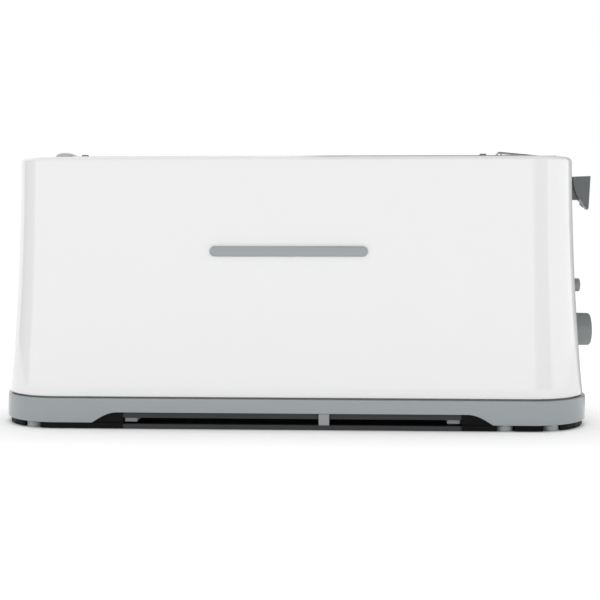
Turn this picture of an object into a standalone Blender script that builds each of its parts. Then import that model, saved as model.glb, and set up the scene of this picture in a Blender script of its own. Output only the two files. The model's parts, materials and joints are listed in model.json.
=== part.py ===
"""A toaster with one long bread slot, as an assembly of separate pieces.

Run with: blender --background --python part.py

X runs along the toaster, and the controls are on its +X end. The front faces -Y, and +Z is up.
Lengths below are in millimetres from the middle of the base on the floor. MM turns them into Blender's
metres, and the root empty moves the whole toaster so that the origin is the middle of its full box.
"""

import math

import bmesh
import bpy
from mathutils import Vector

MM = 0.001

# Driving dimensions, in millimetres
LENGTH = 400.0
DEPTH = 124.0
TOP = 182.0
CORNER = 42.0
CONTROL_REACH = 8.8  # how far the browning knob stands out past the base ring
GAP = 0.3  # left between pieces that touch
WALL = 2.5

RING_LOW = 4.2
RING_HIGH = 20.4
SHELL_LOW = 21.4
SHELL_INSET_LOW = 1.7
SHELL_FLARE = 6.9  # how much further in the housing is at the top than at the base
TOP_FILLET = 3.2

PLATE_LOW = 7.5
PLATE_HIGH = 9.5
FOOT_RADIUS = 5.5
NOTCH_TOP = 11.3
NOTCH_HALF_LOW = 133.0
NOTCH_HALF_HIGH = 115.8
POST_X = 107.4
RAIL_TOP = 3.2
TRAY_HALF = 124.0
TRAY_WINDOW_TOP = 17.2

SLOT_X = -9.0
SLOT_HALF_LENGTH = 140.0
SLOT_HALF_WIDTH = 18.0

CHASSIS_LEFT = -158.0
CHASSIS_RIGHT = 140.0
CHASSIS_TOP = 148.0
HEATER_Y = 27.0
SHIELD_Y = 42.0
LIFT_Z = 84.0

LEVER_TRAVEL = 46.0
LEVER_TOP = 170.0
NECK_LOW = 153.8
NECK_HALF_WIDTH = 2.5
LEVER_HALF_WIDTH = 5.5

BUTTON_Z = 94.6
BUTTON_PITCH = 18.0
BUTTON_RADIUS = 4.5
BUTTON_FACE_X = 197.3
KNOB_Z = 62.5
KNOB_RADIUS = 11.5
SHAFT_RADIUS = 3.0
BOARD_X = 180.0

ROD_X = 158.0
ROD_Y = -16.0
ROD_RADIUS = 2.5
SPRING_Y = 16.0
BRACKET_Z = 176.2

WIRE_RADIUS = 0.9
RACK_Z = TOP + 0.2 + WIRE_RADIUS
RACK_RAIL_Y = 26.0
RACK_PIVOT_Y = 4.0
RACK_LEFT = -155.0
RACK_RIGHT = 165.0
FINGER_PIVOT_X = 180.0

GLAND_X = 118.0
GLAND_Z = 36.0


def clear_scene():
    for thing in list(bpy.data.objects):
        bpy.data.objects.remove(thing, do_unlink=True)


def make_material(name, colour, roughness, metallic=0.0):
    material = bpy.data.materials.new(name)
    material.use_nodes = True
    shader = material.node_tree.nodes["Principled BSDF"]
    shader.inputs["Base Color"].default_value = (*colour, 1.0)
    shader.inputs["Roughness"].default_value = roughness
    shader.inputs["Metallic"].default_value = metallic
    return material


def make_materials():
    return {
        "white": make_material("white_plastic", (0.87, 0.87, 0.87), 0.12),
        "grey": make_material("grey_plastic", (0.34, 0.37, 0.38), 0.32),
        "dark_grey": make_material("dark_grey_plastic", (0.16, 0.17, 0.18), 0.38),
        "black": make_material("black_plastic", (0.012, 0.012, 0.013), 0.5),
        "rubber": make_material("grey_rubber", (0.10, 0.11, 0.11), 0.8),
        "chrome": make_material("chrome", (0.75, 0.76, 0.78), 0.08, 1.0),
        "steel": make_material("sheet_steel", (0.56, 0.57, 0.58), 0.35, 1.0),
        "mica": make_material("mica_board", (0.62, 0.58, 0.48), 0.6),
        "nichrome": make_material("heating_wire", (0.36, 0.34, 0.32), 0.45, 1.0),
        "copper": make_material("copper_winding", (0.72, 0.36, 0.18), 0.35, 1.0),
        "board": make_material("circuit_board", (0.03, 0.16, 0.07), 0.45),
    }


# Shapes


def finish_object(name, bm, material, smooth_angle=None):
    """Scales a bmesh from millimetres, makes it an object, and shades it."""
    bmesh.ops.recalc_face_normals(bm, faces=bm.faces)
    bmesh.ops.scale(bm, vec=(MM, MM, MM), verts=bm.verts)
    mesh = bpy.data.meshes.new(name)
    bm.to_mesh(mesh)
    bm.free()
    if smooth_angle:
        mesh.shade_smooth()
        mesh.set_sharp_from_angle(angle=math.radians(smooth_angle))
    thing = bpy.data.objects.new(name, mesh)
    bpy.context.scene.collection.objects.link(thing)
    if material:
        mesh.materials.append(material)
    return thing


def loft(name, loops, material, closed=False, smooth_angle=30):
    """Skins loops of equal point count. The ends are capped, or joined to each other when closed."""
    bm = bmesh.new()
    rows = [[bm.verts.new(point) for point in loop] for loop in loops]
    count = len(rows[0])
    pairs = list(zip(rows, rows[1:]))
    if closed:
        pairs.append((rows[-1], rows[0]))
    for low, high in pairs:
        for i in range(count):
            j = (i + 1) % count
            bm.faces.new((low[i], low[j], high[j], high[i]))
    if not closed:
        bm.faces.new(rows[0])
        bm.faces.new(rows[-1])
    return finish_object(name, bm, material, smooth_angle)


def rounded_outline(half_x, half_y, radius, z, steps=7, centre=(0.0, 0.0)):
    """A rounded rectangle at height z, counter-clockwise seen from above."""
    points = []
    corners = ((1, 1, 0), (-1, 1, 90), (-1, -1, 180), (1, -1, 270))
    for sign_x, sign_y, start in corners:
        for step in range(steps + 1):
            angle = math.radians(start + 90 * step / steps)
            x = centre[0] + sign_x * (half_x - radius) + radius * math.cos(angle)
            y = centre[1] + sign_y * (half_y - radius) + radius * math.sin(angle)
            points.append((x, y, z))
    return points


def base_outline(inset, z, steps=7):
    """The base's outline, moved in by inset."""
    return rounded_outline(LENGTH / 2 - inset, DEPTH / 2 - inset, CORNER - inset, z, steps)


def slot_outline(outset, z):
    """The bread slot's outline, moved out by outset."""
    half_x = SLOT_HALF_LENGTH + outset
    half_y = SLOT_HALF_WIDTH + outset
    return rounded_outline(half_x, half_y, 5.0 + outset, z, 5, (SLOT_X, 0.0))


def block(name, low, high, material=None, bevel=0.0):
    """A box between two corners, with its edges rounded by bevel."""
    bm = bmesh.new()
    bmesh.ops.create_cube(bm, size=1.0)
    size = Vector(high) - Vector(low)
    bmesh.ops.scale(bm, vec=size, verts=bm.verts)
    bmesh.ops.translate(bm, vec=(Vector(high) + Vector(low)) / 2, verts=bm.verts)
    if bevel:
        bmesh.ops.bevel(bm, geom=bm.edges[:], offset=bevel, segments=2, profile=0.5, affect="EDGES")
    return finish_object(name, bm, material, 40)


def turned(name, profile, centre, axis, material, sides=24):
    """Turns (distance along the axis, radius) points about an axis. A zero radius closes an end."""
    turn = Vector((0, 0, 1)).rotation_difference(Vector(axis)).to_matrix()
    bm = bmesh.new()
    rows = []
    for along, radius in profile:
        if radius == 0:
            rows.append([bm.verts.new(turn @ Vector((0, 0, along)) + Vector(centre))])
            continue
        row = []
        for side in range(sides):
            angle = 2 * math.pi * side / sides
            point = Vector((radius * math.cos(angle), radius * math.sin(angle), along))
            row.append(bm.verts.new(turn @ point + Vector(centre)))
        rows.append(row)
    pairs = list(zip(rows, rows[1:]))
    if len(rows[0]) > 1 and len(rows[-1]) > 1:
        pairs.append((rows[-1], rows[0]))
    for first, second in pairs:
        for i in range(sides):
            j = (i + 1) % sides
            corners = [first[i % len(first)], first[j % len(first)]]
            corners += [second[j % len(second)], second[i % len(second)]]
            bm.faces.new(list(dict.fromkeys(corners)))
    return finish_object(name, bm, material, 35)


def cylinder(name, centre, axis, radius, start, end, material=None, sides=20):
    profile = [(start, 0), (start, radius), (end, radius), (end, 0)]
    return turned(name, profile, centre, axis, material, sides)


def extruded(name, outline, axis, start, end, material=None, smooth_angle=30):
    """Extrudes an outline of (first, second) points along axis "x" or "y"."""
    loops = []
    for along in (start, end):
        if axis == "y":
            loops.append([(first, along, second) for first, second in outline])
        else:
            loops.append([(along, first, second) for first, second in outline])
    return loft(name, loops, material, smooth_angle=smooth_angle)


def grid_plate(name, columns, rows, windows, place, thickness, material):
    """A sheet made of grid cells, without the cells in windows. place turns (u, v) into a point."""
    bm = bmesh.new()
    corners = {}

    def corner(i, j):
        if (i, j) not in corners:
            corners[i, j] = bm.verts.new(place(columns[i], rows[j]))
        return corners[i, j]

    for i in range(len(columns) - 1):
        for j in range(len(rows) - 1):
            if (i, j) not in windows:
                bm.faces.new((corner(i, j), corner(i + 1, j), corner(i + 1, j + 1), corner(i, j + 1)))
    made = bmesh.ops.extrude_face_region(bm, geom=bm.faces[:])
    moved = [part for part in made["geom"] if isinstance(part, bmesh.types.BMVert)]
    bmesh.ops.translate(bm, vec=thickness, verts=moved)
    return finish_object(name, bm, material)


def wire(name, points, radius, material, resolution=3):
    """A round wire along points, with flat ends."""
    curve = bpy.data.curves.new(name, "CURVE")
    curve.dimensions = "3D"
    curve.bevel_depth = radius * MM
    curve.bevel_resolution = resolution
    curve.use_fill_caps = True
    spline = curve.splines.new("POLY")
    spline.points.add(len(points) - 1)
    for slot, point in zip(spline.points, points):
        slot.co = (*(Vector(point) * MM), 1.0)
    curve.materials.append(material)
    thing = bpy.data.objects.new(name, curve)
    bpy.context.scene.collection.objects.link(thing)
    return thing


def rounded_path(points, radius, steps=5):
    """The path through points with its inner corners rounded."""
    path = [Vector(points[0])]
    for before, here, after in zip(points, points[1:], points[2:]):
        here = Vector(here)
        back = (Vector(before) - here).normalized()
        forward = (Vector(after) - here).normalized()
        half_angle = back.angle(forward) / 2
        reach = radius / math.tan(half_angle)
        centre = here + (back + forward).normalized() * radius / math.sin(half_angle)
        first = here + back * reach - centre
        last = here + forward * reach - centre
        for step in range(steps + 1):
            path.append(centre + first.normalized().slerp(last.normalized(), step / steps) * radius)
    path.append(Vector(points[-1]))
    return path


def combine(thing, other, operation):
    """Cuts other from thing or joins it on. other is a guide and isn't a piece itself."""
    other.hide_render = True
    other.display_type = "WIRE"
    modifier = thing.modifiers.new(other.name, "BOOLEAN")
    modifier.operation = operation
    modifier.solver = "EXACT"
    modifier.object = other


def cut(thing, other):
    combine(thing, other, "DIFFERENCE")


def join(thing, other):
    combine(thing, other, "UNION")


# The outer pieces


def shell_inset(z):
    """How far the housing's wall stands in from the base's outline at height z."""
    share = (TOP - z) / (TOP - SHELL_LOW)
    return SHELL_INSET_LOW + SHELL_FLARE * (1 - share**2)


def make_housing(material):
    """A thin shell, open below, whose walls lean in along an arc to a rounded top edge."""
    fillet_start = TOP - TOP_FILLET
    heights = [SHELL_LOW + (fillet_start - SHELL_LOW) * i / 7 for i in range(8)]
    inner_heights = [SHELL_LOW + (TOP - WALL - SHELL_LOW) * i / 4 for i in range(5)]
    loops = [base_outline(shell_inset(z) + WALL, z) for z in reversed(inner_heights)]
    loops += [base_outline(shell_inset(z), z) for z in heights]
    for step in range(1, 5):
        angle = math.radians(90 * step / 4)
        z = fillet_start + TOP_FILLET * math.sin(angle)
        inset = shell_inset(fillet_start) + TOP_FILLET * (1 - math.cos(angle))
        loops.append(base_outline(inset, z))
    housing = loft("housing_shell", loops, material)

    clearance = 1.5
    slot_cutter = [slot_outline(clearance, z) for z in (TOP - 10, TOP + 10)]
    cut(housing, loft("housing_slot_cutter", slot_cutter, None))
    half_width = NECK_HALF_WIDTH + 0.8
    lever_low = (184, -half_width, NECK_LOW - LEVER_TRAVEL - 1)
    cut(housing, block("lever_slot_cutter", lever_low, (200, half_width, LEVER_TOP + 1)))
    for index in (-1, 0, 1):
        centre = (0, index * BUTTON_PITCH, BUTTON_Z)
        name = f"button_hole_cutter_{index + 1}"
        cut(housing, cylinder(name, centre, (1, 0, 0), BUTTON_RADIUS + 0.35, 184, 200))
    cut(housing, cylinder("shaft_hole_cutter", (0, 0, KNOB_Z), (1, 0, 0), SHAFT_RADIUS + 0.5, 184, 200))
    cut(housing, cylinder("gland_hole_cutter", (GLAND_X, 0, GLAND_Z), (0, 1, 0), 5.5, 50, 65))


def make_slot_liner(material):
    """A steel collar round the bread slot, with a low lip on the housing's top."""
    lip = TOP + GAP
    low = CHASSIS_TOP + 4
    sections = ((0, low), (0, lip), (0.6, lip + 0.8), (2.9, lip + 0.8), (3.5, lip + 0.4), (3.5, lip))
    sections += ((1.0, lip), (1.0, low))
    loft("slot_liner", [slot_outline(outset, z) for outset, z in sections], material, closed=True)


def make_trim_bar(material):
    """A round-ended bar on the front wall, leaning with it."""
    half_length, half_height, centre_x, centre_z = 52.8, 3.4, -2.0, 118.1
    front = DEPTH / 2 - shell_inset(centre_z)
    loops = []
    for shrink, proud in ((0, 0.35), (0, 1.5), (0.5, 2.0)):
        outline = rounded_outline(half_length - shrink, half_height - shrink, half_height - shrink - 0.01, 0)
        loops.append([(x, y, proud) for x, y, _ in outline])
    bar = loft("front_trim_bar", loops, material)
    lean = math.atan(SHELL_FLARE * 2 * (TOP - centre_z) / (TOP - SHELL_LOW) ** 2)
    bar.location = Vector((centre_x, -front, centre_z)) * MM
    bar.rotation_euler = (math.pi / 2 - lean, 0, 0)
    return bar


def notch_outline():
    """The long opening under the front wall: a flat top that curves down to a sharp corner at each end."""
    steps = 8
    ramp = []
    for step in range(steps + 1):
        share = step / steps
        x = NOTCH_HALF_LOW + (NOTCH_HALF_HIGH - NOTCH_HALF_LOW) * share
        rise = math.sin(math.pi / 2 * share)
        ramp.append((x, RING_LOW + (NOTCH_TOP - RING_LOW) * rise))
    right = [(NOTCH_HALF_LOW, 0.0)] + ramp
    return right + [(-x, z) for x, z in reversed(right)]


def make_base_ring(material):
    """The grey skirt. Its ledge carries the housing, and an upstand inside the gap centres it."""
    upstand = 4.9
    sections = (
        (1.0, RING_LOW), (0.3, RING_LOW + 0.3), (0, RING_LOW + 1), (0, RING_HIGH - 1.1),
        (0.35, RING_HIGH - 0.3), (1.1, RING_HIGH), (upstand, RING_HIGH), (upstand, RING_HIGH + 5),
        (upstand + 1.5, RING_HIGH + 5), (upstand + 1.5, RING_HIGH - WALL), (WALL, RING_HIGH - WALL),
        (WALL, RING_LOW),
    )
    ring = loft("base_ring", [base_outline(inset, z) for inset, z in sections], material, closed=True)
    cut(ring, extruded("front_notch_cutter", notch_outline(), "y", -DEPTH / 2 - 5, -DEPTH / 2 + 8))
    half = TRAY_HALF + 0.6
    window_low = (-half, DEPTH / 2 - 8, 0)
    cut(ring, block("tray_window_cutter", window_low, (half, DEPTH / 2 + 5, TRAY_WINDOW_TOP)))


def make_bottom_plate(material):
    """The floor of the toaster, with a dark plinth just above the table that is a low rail in the notch."""
    plinth_low = 0.4
    inside = WALL + 0.5
    rim = PLATE_HIGH + 2.5
    sections = (
        (5, PLATE_LOW), (5, plinth_low), (2, plinth_low), (2, RING_LOW - GAP),
        (inside, RING_LOW - GAP), (inside, rim), (inside + 2, rim), (inside + 2, PLATE_HIGH),
    )
    plate = loft("bottom_plate", [base_outline(inset, z) for inset, z in sections], material)
    low, edge = PLATE_LOW - 0.2, DEPTH / 2
    reach = POST_X + 5
    notch = ((-reach, -edge - 3, RAIL_TOP), (reach, -edge + 7, low))
    rear = ((-TRAY_HALF, edge - 7, -1), (TRAY_HALF, edge + 3, low))
    for name, box in (("front", notch), ("rear", rear)):
        cut(plate, block(f"plinth_{name}_cutter", *box))
    tray_path = ((-TRAY_HALF - 1, edge - 7, PLATE_HIGH), (TRAY_HALF + 1, edge + 3, rim + 2))
    cut(plate, block("tray_path_cutter", *tray_path))
    for name, x, y in foot_places():
        cut(plate, cylinder(f"{name}_cutter", (x, y, 0), (0, 0, 1), FOOT_RADIUS + 1, -1, low))
        near, far = sorted((y, math.copysign(edge + 3, y)))
        half = FOOT_RADIUS + 0.5
        cut(plate, block(f"{name}_view_cutter", (x - half, near, -1), (x + half, far, RING_LOW - GAP - 0.1)))
    for name, x, y in screw_places():
        cut(plate, cylinder(f"{name}_plate_cutter", (x, y, 0), (0, 0, 1), 2.0, 5, 12, sides=12))
    intake = [(column, row) for column in (-60, 0, 60) for row in (-20, 0, 20)]
    for number, (x, y) in enumerate(intake):
        cut(plate, block(f"intake_{number}_cutter", (x - 20, y - 2, 5), (x + 20, y + 2, 12)))


def foot_places():
    """Four feet at the corners, and one more on each side under the controls."""
    places = []
    for side, x, y in (("left", -174, 49.6), ("right", 171.5, 51), ("middle", 141, 53.5)):
        places.append((f"foot_front_{side}", x, -y))
        places.append((f"foot_rear_{side}", x, y))
    return places


def make_feet(material):
    for name, x, y in foot_places():
        profile = ((0, 0), (0, FOOT_RADIUS - 0.7), (0.7, FOOT_RADIUS), (PLATE_LOW - 0.5, FOOT_RADIUS))
        turned(name, (*profile, (PLATE_LOW - 0.5, 0)), (x, y, 0), (0, 0, 1), material)


def screw_places():
    places = []
    for side, x in (("left", CHASSIS_LEFT - 8), ("right", CHASSIS_RIGHT + 9)):
        for face, y in (("front", -35), ("rear", 35)):
            places.append((f"base_screw_{face}_{side}", x, y))
    return places


def make_screws(material):
    """Pan-head screws from below, through the bottom plate into the chassis."""
    head = PLATE_LOW - GAP
    for name, x, y in screw_places():
        profile = ((head - 1.8, 0), (head - 1.8, 2.6), (head - 0.6, 3.4), (head, 3.4), (head, 1.5))
        turned(name, (*profile, (13, 1.5), (14, 0)), (x, y, 0), (0, 0, 1), material, 12)


def make_under_fittings(material):
    """Two cleats to wrap the cord round, and a clip whose upright end shows in the notch."""
    top, low = PLATE_LOW - GAP, RAIL_TOP + GAP
    front = -DEPTH / 2
    for name, x in (("cord_cleat_left", -POST_X), ("cord_cleat_right", POST_X)):
        block(name, (x - 4.4, front + 5.4, 4.1), (x + 4.4, front + 20, top), material, 0.6)
    left, right, face, back = 18.2, 25.2, front + 0.8, front + 2.7
    outline = [(face, low), (front + 24, low), (front + 24, top), (back, top)]
    outline += [(back, NOTCH_TOP - GAP), (face, NOTCH_TOP - GAP)]
    extruded("cord_clip", outline, "x", left, right, material, None)


# The chassis and the heaters


def make_end_plates(material):
    """Two folded steel plates that carry the heaters, the guides and the carriage."""
    flange_top = PLATE_HIGH + GAP + 1
    foot = PLATE_HIGH + GAP
    for name, x, out in (("left_end_plate", CHASSIS_LEFT, -1), ("right_end_plate", CHASSIS_RIGHT, 1)):
        reach = x + out * 27
        outline = [(x, foot), (x, CHASSIS_TOP), (x + out, CHASSIS_TOP), (x + out, flange_top)]
        outline += [(reach, flange_top), (reach, foot)]
        plate = extruded(name, outline, "y", -44, 44, material, None)
        low = (x - 3, -6, LIFT_Z - LEVER_TRAVEL - 4)
        cut(plate, block(f"{name}_lift_cutter", low, (x + 4, 6, LIFT_Z + 6)))
    for name, x, y in screw_places():
        plate = bpy.data.objects["left_end_plate" if x < 0 else "right_end_plate"]
        cut(plate, cylinder(f"{name}_chassis_cutter", (x, y, 0), (0, 0, 1), 1.9, 5, 16, sides=12))


def make_shields_and_heaters(materials):
    """For each face: a heat shield, a mica board and the wire wound over it."""
    left, right = CHASSIS_LEFT + 1 + GAP, CHASSIS_RIGHT - GAP
    board_left, board_right = SLOT_X - SLOT_HALF_LENGTH, SLOT_X + SLOT_HALF_LENGTH
    for face, side in (("front", -1), ("rear", 1)):
        shield_y = sorted((side * SHIELD_Y, side * (SHIELD_Y + 0.8)))
        low, high = (left, shield_y[0], 18), (right, shield_y[1], CHASSIS_TOP)
        block(f"{face}_heat_shield", low, high, materials["steel"])
        board_y = sorted((side * HEATER_Y, side * (HEATER_Y + 0.8)))
        low, high = (board_left, board_y[0], 32), (board_right, board_y[1], CHASSIS_TOP - 4)
        block(f"{face}_heater_board", low, high, materials["mica"])
        winding_y = side * (HEATER_Y - GAP - 0.6)
        rows = [44 + 15 * i for i in range(7)]
        ends = (board_left + 10, board_right - 10)
        path = []
        for index, z in enumerate(rows):
            first, last = ends if index % 2 == 0 else ends[::-1]
            path += [(first, winding_y, z), (last, winding_y, z)]
        wire(f"{face}_heater_winding", rounded_path(path, 2, 3), 0.6, materials["nichrome"], 1)


def make_bread_guides(material):
    """Punched steel fences, one on each side of the slice."""
    bars = 10
    columns = []
    left, right = SLOT_X - SLOT_HALF_LENGTH + 3, SLOT_X + SLOT_HALF_LENGTH - 3
    pitch = (right - left - 2) / (bars - 1)
    for bar in range(bars):
        columns += [left + pitch * bar, left + pitch * bar + 2]
    rows = [30, 32, 88, 90, 144, 146]
    windows = {(i, j) for i in range(1, len(columns) - 1, 2) for j in (1, 3)}
    for face, side in (("front", -1), ("rear", 1)):
        y = side * (SLOT_HALF_WIDTH + 0.2)
        grid_plate(
            f"{face}_bread_guide", columns, rows, windows,
            lambda x, z, y=y: (x, y, z), (0, side * 0.9, 0), material,
        )


def make_crumb_tray(steel, grey):
    """A shallow tray that pulls out at the back, with a grey grip panel."""
    low = PLATE_HIGH + 0.8
    half = TRAY_HALF - 3
    front, back = -44.0, DEPTH / 2 - 4.5
    outer = rounded_outline(half, (back - front) / 2, 3, low, 3, (0, (front + back) / 2))
    inner = rounded_outline(half - 0.8, (back - front) / 2 - 0.8, 2.2, low, 3, (0, (front + back) / 2))
    loops = [[(x, y, low + rise) for x, y, _ in loop] for loop, rise in (
        (outer, 0), (outer, 4), (inner, 4), (inner, 0.8))]
    loft("crumb_tray", loops, steel)
    grip = block(
        "crumb_tray_grip", (-TRAY_HALF, back + GAP, low), (TRAY_HALF, DEPTH / 2 - 0.3, TRAY_WINDOW_TOP - 0.5),
        grey, 0.6,
    )
    scoop = cylinder("grip_scoop_cutter", (0, DEPTH / 2 + 14.5, low + 3.8), (0, 0, 1), 17, -10, 2.4, sides=32)
    cut(grip, scoop)


# The carriage and the controls


def make_guide_rod(material):
    """The upright rod of the carriage, and the bracket that holds the rod and the spring at the top."""
    low = PLATE_HIGH + GAP + 1 + GAP
    cylinder("guide_rod", (ROD_X, ROD_Y, 0), (0, 0, 1), ROD_RADIUS, low, BRACKET_Z - GAP, material)
    block("top_bracket", (150, -22, BRACKET_Z), (168, 22, BRACKET_Z + 1.5), material)


def make_carriage(materials):
    """The carriage rides on the guide rod. It carries the bread lift, the armature and the lever."""
    hub_low, hub_high = LIFT_Z - 6, LIFT_Z + 6
    post, arm_low, arm_high = 166.0, NECK_LOW + 1.5, LEVER_TOP - 1.7
    outline = [(post, hub_low), (post, arm_high), (203, arm_high), (203, arm_low)]
    outline += [(post + 6, arm_low), (post + 6, hub_low)]
    half = NECK_HALF_WIDTH - 0.6
    carriage = extruded("lever_carriage", outline, "y", -half, half, materials["steel"], None)
    hub = block("carriage_hub", (151, -23, hub_low + 1), (171, 23, hub_high - 1))
    join(carriage, hub)
    hole = cylinder("rod_hole_cutter", (ROD_X, ROD_Y, 0), (0, 0, 1), ROD_RADIUS + 0.4, 60, 110)
    cut(carriage, hole)

    teeth = 12
    left, right = SLOT_X - SLOT_HALF_LENGTH + 4, SLOT_X + SLOT_HALF_LENGTH - 4
    columns = [left - 16] + [left + (right - left) * i / (2 * teeth) for i in range(2 * teeth + 1)]
    columns += [150.7]
    windows = {(i, j) for i in range(0, len(columns) - 1) for j in (0, 2) if i % 2 == 0}
    windows |= {(0, 0), (0, 2), (len(columns) - 2, 0), (len(columns) - 2, 2)}
    grid_plate(
        "bread_lift", columns, [-9, -3, 3, 9], windows,
        lambda x, y: (x, y, LIFT_Z - 0.8), (0, 0, 1.6), materials["steel"],
    )
    low = (152, SPRING_Y - 8, hub_low + 1 - GAP - 2)
    block("latch_armature", low, (166, SPRING_Y + 6, hub_low + 1 - GAP), materials["steel"], 0.3)


def make_lift_spring(material):
    """The spring that pulls the carriage back up."""
    turns, points_per_turn = 13, 10
    low, high = LIFT_Z + 5 + GAP + 0.6, 175.0
    path = []
    for index in range(turns * points_per_turn + 1):
        angle = 2 * math.pi * index / points_per_turn
        z = low + (high - low) * index / (turns * points_per_turn)
        path.append((ROD_X + 3.5 * math.cos(angle), SPRING_Y + 3.5 * math.sin(angle), z))
    wire("lift_spring", path, 0.5, material, 1)


def make_magnet(materials):
    """The electromagnet that holds the carriage down until the timer lets it go."""
    top = LIFT_Z - 7.6 - LEVER_TRAVEL - 0.5
    foot = PLATE_HIGH + GAP + 1 + GAP
    middle = SPRING_Y - 1
    outline = [(middle - 6, foot), (middle - 6, top), (middle - 2, top), (middle - 2, foot + 3)]
    outline += [(middle + 2, foot + 3), (middle + 2, top), (middle + 6, top), (middle + 6, foot)]
    extruded("magnet_core", outline, "x", 154, 165, materials["steel"], None)
    hole = rounded_outline(5.9, 2.4, 0.5, 0, 2, (159.5, middle - 4))
    skin = rounded_outline(7.6, 3.7, 1.5, 0, 2, (159.5, middle - 4))
    loops = [[(x, y, z) for x, y, _ in loop] for loop, z in (
        (hole, foot + 4), (skin, foot + 4), (skin, top - 2), (hole, top - 2))]
    loft("magnet_coil", loops, materials["copper"], closed=True)


def make_lever(material):
    """The lever's finger piece: a neck in the housing's slot and a hooked paddle outside."""
    neck_in = 192.6
    outline = [(neck_in, NECK_LOW), (neck_in, LEVER_TOP), (208.4, LEVER_TOP + 0.5)]
    tip = Vector((206.3, 147.7))
    tip_radius = 0.8
    for step in range(6):
        angle = math.radians(-12 - 118 * step / 5)
        outline.append((tip.x + tip_radius * math.cos(angle), tip.y + tip_radius * math.sin(angle)))
    scoop_steps = 5
    start, bend, end = Vector(outline[-1]), Vector((203.2, 150.4)), Vector((201.0, NECK_LOW))
    for step in range(1, scoop_steps + 1):
        share = step / scoop_steps
        point = start * (1 - share) ** 2 + bend * 2 * share * (1 - share) + end * share**2
        outline.append((point.x, point.y))
    half = LEVER_HALF_WIDTH
    loops = []
    bow = ((0, -0.3), (half / 2, 0), (half - 0.8, 0.1), (half, 0.4))
    for y, pull in [(-y, pull) for y, pull in reversed(bow[1:])] + list(bow):
        lift = 1.8 * (abs(y) / half) ** 3 / (NECK_LOW - tip.y + tip_radius)
        loop = [(x - pull if x > 203 else x, y, z + lift * max(0, NECK_LOW - z)) for x, z in outline]
        loops.append(loop)
    lever = loft("lever_knob", loops, material)
    beside = [(180, 149), (203.2, 149), (202.4, 151.8), (200.2, 154.5), (198.2, 158), (196.8, 162.5), (195.9, 168)]
    beside += [(195.6, 175), (180, 175)]
    for face, low, high in (("front", -20, -NECK_HALF_WIDTH), ("rear", NECK_HALF_WIDTH, 20)):
        cut(lever, extruded(f"neck_{face}_cutter", beside, "y", low, high))
    pocket = NECK_HALF_WIDTH - 0.6 + GAP
    cut(lever, block("lever_pocket_cutter", (180, -pocket, NECK_LOW + 1.2), (203.3, pocket, LEVER_TOP - 1.4)))


def make_board(materials):
    """The timer board, its three switches and the browning control's potentiometer."""
    board = block("control_board", (BOARD_X, -42, 40), (BOARD_X + 1.6, 42, 104), materials["board"])
    cut(board, cylinder("board_hole_cutter", (0, 0, KNOB_Z), (1, 0, 0), 5, 170, 190))
    pot = ((BOARD_X - 7, 0), (BOARD_X - 7, 7.4), (BOARD_X - 6.4, 8), (BOARD_X - GAP, 8), (BOARD_X - GAP, 0))
    turned("browning_potentiometer", pot, (0, 0, KNOB_Z), (1, 0, 0), materials["black"])
    for index, name in enumerate(("cancel", "defrost", "reheat")):
        y = (index - 1) * BUTTON_PITCH
        low = (BOARD_X + 1.6 + GAP, y - 3, BUTTON_Z - 3)
        block(f"{name}_switch", low, (184.2, y + 3, BUTTON_Z + 3), materials["black"], 0.4)


def make_knob(materials):
    """The browning knob: a straight-sided drum with a low dome, on a round shaft."""
    base, rim, dome = 196.6, 206.9, LENGTH / 2 + CONTROL_REACH
    radius = KNOB_RADIUS
    bore = SHAFT_RADIUS + GAP
    profile = [(203.3, 0), (203.3, bore), (base, bore), (base, radius), (rim, radius - 0.2)]
    for step in range(1, 6):
        angle = math.radians(90 * step / 6)
        profile.append((rim + 1.2 * math.sin(angle), radius - 1.6 + 1.4 * math.cos(angle)))
    profile += [(rim + 1.5, radius - 2.6), (dome - 0.15, radius / 2), (dome, 0)]
    turned("browning_knob", profile, (0, 0, KNOB_Z), (1, 0, 0), materials["grey"], 40)
    shaft = (0, 0, KNOB_Z)
    cylinder("browning_shaft", shaft, (1, 0, 0), SHAFT_RADIUS, BOARD_X + 2.2, 203, materials["steel"], 24)


def make_buttons(material):
    """Three round push buttons with a collar that keeps them in the housing."""
    for index, name in enumerate(("cancel", "defrost", "reheat")):
        centre = (0, (index - 1) * BUTTON_PITCH, BUTTON_Z)
        face, radius = BUTTON_FACE_X, BUTTON_RADIUS
        profile = [(186.6, 0), (186.6, radius + 1.2), (188.2, radius + 1.2), (188.2, radius)]
        profile += [(face - 0.8, radius), (face - 0.25, radius - 0.25), (face, radius - 0.9), (face + 0.2, 0)]
        turned(f"{name}_button", profile, centre, (1, 0, 0), material)


def make_gland(material):
    """The bush in the rear wall that the mains cord would pass through."""
    wall = DEPTH / 2 - shell_inset(GLAND_Z)
    profile = [(wall - 6, 3.6), (wall - 6, 7), (wall - WALL - 1, 7), (wall - WALL - 1, 5.1)]
    profile += [(wall + 0.6, 5.1), (wall + 0.6, 7), (wall + 1.7, 6.8), (wall + 2.2, 6), (wall + 2.2, 3.6)]
    turned("cord_gland", profile, (GLAND_X, 0, GLAND_Z), (0, 1, 0), material)


# The warming rack


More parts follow.
